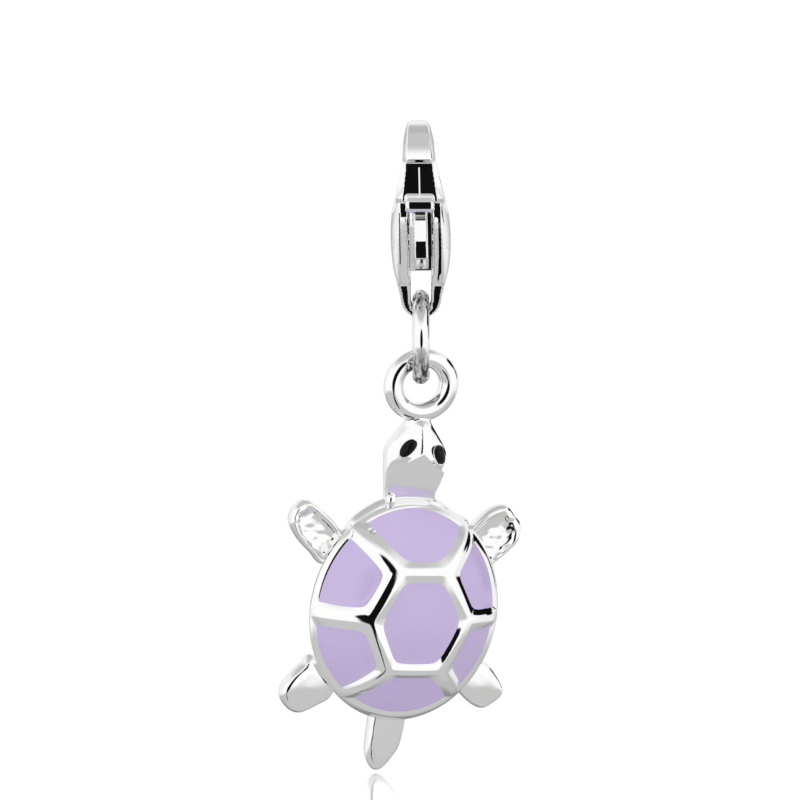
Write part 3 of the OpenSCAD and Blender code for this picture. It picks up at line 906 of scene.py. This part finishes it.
def make_turtle():
    """Legs, tail, shoulders, head, drip and loop cast as one, with face, eye pits and shell."""
    limbs = [pillow(*limb) for limb in LIMBS]
    for leg in limbs[:2]:
        stand(leg, turned(FRONT_LEAN, "X", (0, 0, LEG_ROOT)))
    for leg in limbs[2:4]:
        for v in leg.data.vertices:
            v.co.y += REAR_BOW * (v.co.z + LEG_ROOT) ** 2
        stand(leg, turned(REAR_LEAN, "X", (0, 0, -LEG_ROOT)))
    stand(limbs[4], turned(TAIL_LEAN, "X", (0, 0, TAIL_ROOT)))
    limbs = join("limbs", *limbs)
    stand(limbs, ON_SHELL @ Matrix.Translation((0, LIMB_Y, 0)))
    head = stack("head", spread(HEAD_ROWS, HEAD_LEVELS), HEAD_SIDES, head_ring)
    stand(head, Matrix.Translation((0, 0, -SHELL_DROP)))
    drip = drop_form("drip", DRIP_SIZE, Matrix.Translation(DRIP_PLACE))
    loop = hoop("loop", LOOP_MIDDLE_R, LOOP_SWELL_R, 120, 40, Matrix.Diagonal((LOOP_STRETCH, 1, 1, 1)))
    core = join("core", limbs, head, drip, loop)
    cast(core, TURTLE_GRAIN, passes=3)
    crumple(core)
    combine(core, make_face(), "UNION")
    for side in (-1, 1):
        pit = Matrix.Translation(PIT_SHIFTS[side]) @ eye_place(side) @ Matrix.Scale(PIT_SIZES[side], 4)
        size = [a + PIT_MARGIN for a in EYE_SIZES[side]]
        combine(core, drop_form("pit", size, pit, fineness=4), "DIFFERENCE")
    shell = make_shell()
    stand(shell, ON_SHELL)
    combine(core, shell, "UNION")
    return core


# How far a filling runs on under its bars, how far from the edge it ends, and its thickness
ENAMEL_UNDER, ENAMEL_RIM, ENAMEL_THICK = 0.36, 0.07, 0.2
# How high it creeps up the bars, and over which width
ENAMEL_CREEP, CREEP_WIDTH = 0.04, 0.1
FILL_STEPS, FILL_SIDES = 64, 192


def make_enamel(corners, edges):
    """A filling cut from a skin that lies a little under the bars, and given its thickness."""
    reach = [dome_point(i / FILL_STEPS) for i in range(FILL_STEPS + 1)]
    reach = [(r, y) for r, y in reach if HALF_W - r > ENAMEL_RIM]
    fill = spun("fill", reach, FILL_SIDES)
    middle = sum((Vector((x, 0, z)) for x, z in corners), Vector()) / len(corners)
    for a, b in edges:
        along = Vector((b[0] - a[0], 0, b[1] - a[1]))
        out = Vector((along.z, 0, -along.x)).normalized()
        start = Vector((a[0], 0, a[1]))
        if (middle - start).dot(out) > 0:
            out = -out
        start -= out * ENAMEL_UNDER
        edit(fill, lambda: bpy.ops.mesh.bisect(plane_co=start, plane_no=out, clear_outer=True))
    for v in fill.data.vertices:
        edge = min(from_bars(v.co.x, v.co.z) - BAR_HALF_W, into_field(v.co.x, v.co.z))
        rise = ENAMEL_CREEP * math.exp(-(max(edge, 0) / CREEP_WIDTH) ** 2)
        v.co -= dome_out(v.co) * (ENAMEL_DIP - rise)
    modify(fill, "SOLIDIFY", thickness=ENAMEL_THICK, offset=-1)
    face_out(fill)
    return fill


CELLS = {
    "centre": (HEXAGON, [(HEXAGON[i], HEXAGON[(i + 1) % 6]) for i in range(6)])}
for i, name in enumerate(["top", "upper_right", "lower_right", "bottom", "lower_left", "upper_left"]):
    j = (i + 1) % 6
    CELLS[name] = ([HEXAGON[i], BAR_ENDS[i], BAR_ENDS[j], HEXAGON[j]],
                   [(HEXAGON[i], HEXAGON[j]), (HEXAGON[i], BAR_ENDS[i]), (HEXAGON[j], BAR_ENDS[j])])


# The pieces, each set down in its place
pose = turtle_pose()
set_down(make_clasp(), "clasp_casting", "clasp", "clasp_body", cast_silver)
set_down(make_rivet(), "rivet_pin", "clasp", "clasp_rivet", wire_silver)
set_down(make_lever(), "lever_casting", "lever", "clasp_lever", wire_silver)
set_down(make_ring(), "ring_wire", "ring", "jump_ring", ring_silver,
         Matrix.Translation((0, 0, RING_Z)))
set_down(make_turtle(), "turtle_casting", "turtle", "turtle_body", cast_silver, pose)
for name, (corners, edges) in CELLS.items():
    set_down(make_enamel(corners, edges), "filling_" + name, "turtle", "enamel_" + name,
             lilac, pose @ ON_SHELL)
for side, name in ((-1, "left"), (1, "right")):
    set_down(make_eye(side), "drop_" + name, "turtle", "eye_" + name, black, pose)


# Camera and light
# The picture's width in millimetres, at the charm
PICTURE_W = 40.0
LENS, SENSOR = 1000.0, 36.0
LOOK_AT = Vector((-1.05, 0, -13.06)) * MM
CAMERA_RISE = math.radians(9)

camera_data = bpy.data.cameras.new("camera")
camera_data.lens, camera_data.sensor_width = LENS, SENSOR
camera = bpy.data.objects.new("camera", camera_data)
bpy.context.collection.objects.link(camera)
away = Vector((0, -math.cos(CAMERA_RISE), math.sin(CAMERA_RISE)))
camera.location = LOOK_AT + away * (PICTURE_W * MM * LENS / SENSOR)
camera.rotation_mode = "QUATERNION"
camera.rotation_quaternion = (-away).to_track_quat("-Z", "Y")
camera_data.clip_start, camera_data.clip_end = 0.1, 50
bpy.context.scene.camera = camera
bpy.context.scene.view_settings.view_transform = "Standard"

# Brightness of the tent, its lower half and its ceiling, and the two rises in degrees between which
# each sets in
TENT_LEVEL = 1.05
FLOOR_SHARE, FLOOR_RISE = 0.555, (-16, -27)
CEILING_SHARE, CEILING_RISE = 0.55, (32, 56)
# The tent is a little dimmer at its sides, and more so low down behind
SIDE_SHARE, SIDE_TURN = 0.88, (80, 110)
BACK_SHARE, BACK_TURN, BACK_RISE = 0.55, (128, 168), (4, -3)
# A black flag is its way round from the camera, its rise, its half width and its half height, in degrees
FLAGS = [(6, 1, 18, 27), (3, -38, 7, 16), (123, 3, 10, 9), (119, 16, 24, 9)]
FLAG_SOFTNESS, FLAG_LEVEL = 0.13, 0.005
# The floor's height and side in metres, how it glows, and how much it mirrors
FLOOR_Z, FLOOR_SIDE, FLOOR_GLOW, FLOOR_GLOSS = -32.16 * MM, 6, 0.46, 0.62
TOP_LIGHT, TOP_LIGHT_TILT, TOP_LIGHT_BREADTH = 0.8, math.radians(30), math.radians(40)
DEGREES = 180 / math.pi


def studio():
    """A white tent with a grey lower half, and black flags round the camera and at the right."""
    world = bpy.data.worlds.new("studio")
    bpy.context.scene.world = world
    sheet = Sheet(world)
    way = sheet.node("ShaderNodeTexCoord", output="Generated")
    x = sheet.node("ShaderNodeSeparateXYZ", {}, {"Vector": way})
    turn = sheet.node("ShaderNodeMath", {"operation": "ARCTAN2"}, {0: x, 1: 0 - x.out("Y")}) * DEGREES
    rise = sheet.node("ShaderNodeMath", {"operation": "ARCSINE"}, {0: x.out("Z")}) * DEGREES
    aside = sheet.node("ShaderNodeMath", {"operation": "ABSOLUTE"}, {0: turn})

    def ramp(value, low, high, start, end):
        return sheet.node("ShaderNodeMapRange", {"interpolation_type": "SMOOTHSTEP"}, {
            "Value": value, "From Min": low, "From Max": high, "To Min": start, "To Max": end})

    light = TENT_LEVEL * ramp(rise, FLOOR_RISE[1], FLOOR_RISE[0], FLOOR_SHARE, 1)
    light = light * ramp(rise, *CEILING_RISE, 1, CEILING_SHARE) * ramp(aside, *SIDE_TURN, 1, SIDE_SHARE)
    low_behind = ramp(rise, BACK_RISE[1], BACK_RISE[0], 1, 0)
    light = light * (1 - ramp(aside, *BACK_TURN, 0, 1 - BACK_SHARE) * low_behind)
    for turn_at, rise_at, half_turn, half_rise in FLAGS:
        across, up = (turn - turn_at) / half_turn, (rise - rise_at) / half_rise
        away = sheet.node("ShaderNodeMath", {"operation": "SQRT"}, {0: across * across + up * up})
        light = light * ramp(away, 1 - FLAG_SOFTNESS, 1 + FLAG_SOFTNESS, FLAG_LEVEL, 1)
    plain = sheet.node("ShaderNodeLightPath", output="Is Camera Ray")
    sheet.node("ShaderNodeOutputWorld", {}, {"Surface": sheet.node("ShaderNodeBackground", {}, {
        "Color": grey(1), "Strength": light + plain * (1.0 - light)})})


def glossy_floor():
    """A white, polished floor just under the tail, which the metal doesn't mirror."""
    clear_selection()
    bpy.ops.mesh.primitive_plane_add(size=FLOOR_SIDE, location=(0, 0, FLOOR_Z))
    floor = placed("floor")
    material, sheet = new_material("white_floor")
    place = sheet.node("ShaderNodeTexCoord", output="Object")
    cloud = sheet.node("ShaderNodeTexNoise", {}, {"Vector": place, "Scale": 30.0})
    glow = sheet.node("ShaderNodeEmission", {}, {"Color": grey(1), "Strength": FLOOR_GLOW})
    gloss = sheet.node("ShaderNodeBsdfAnisotropic", {}, {
        "Color": grey(FLOOR_GLOSS), "Roughness": 0.1 + 0.02 * cloud})
    both = sheet.node("ShaderNodeAddShader", {}, {0: glow, 1: gloss})
    sheet.node("ShaderNodeOutputMaterial", {}, {"Surface": both})
    floor.data.materials.append(material)
    floor.visible_glossy = False


def soft_top_light():
    """A broad light high in front, for the enamel alone: it isn't mirrored."""
    clear_selection()
    bpy.ops.object.light_add(type="SUN", rotation=(TOP_LIGHT_TILT, 0, 0))
    light = bpy.context.active_object
    light.name = light.data.name = "top_light"
    light.data.energy, light.data.angle = TOP_LIGHT, TOP_LIGHT_BREADTH
    light.visible_glossy = False


studio()
soft_top_light()
glossy_floor()
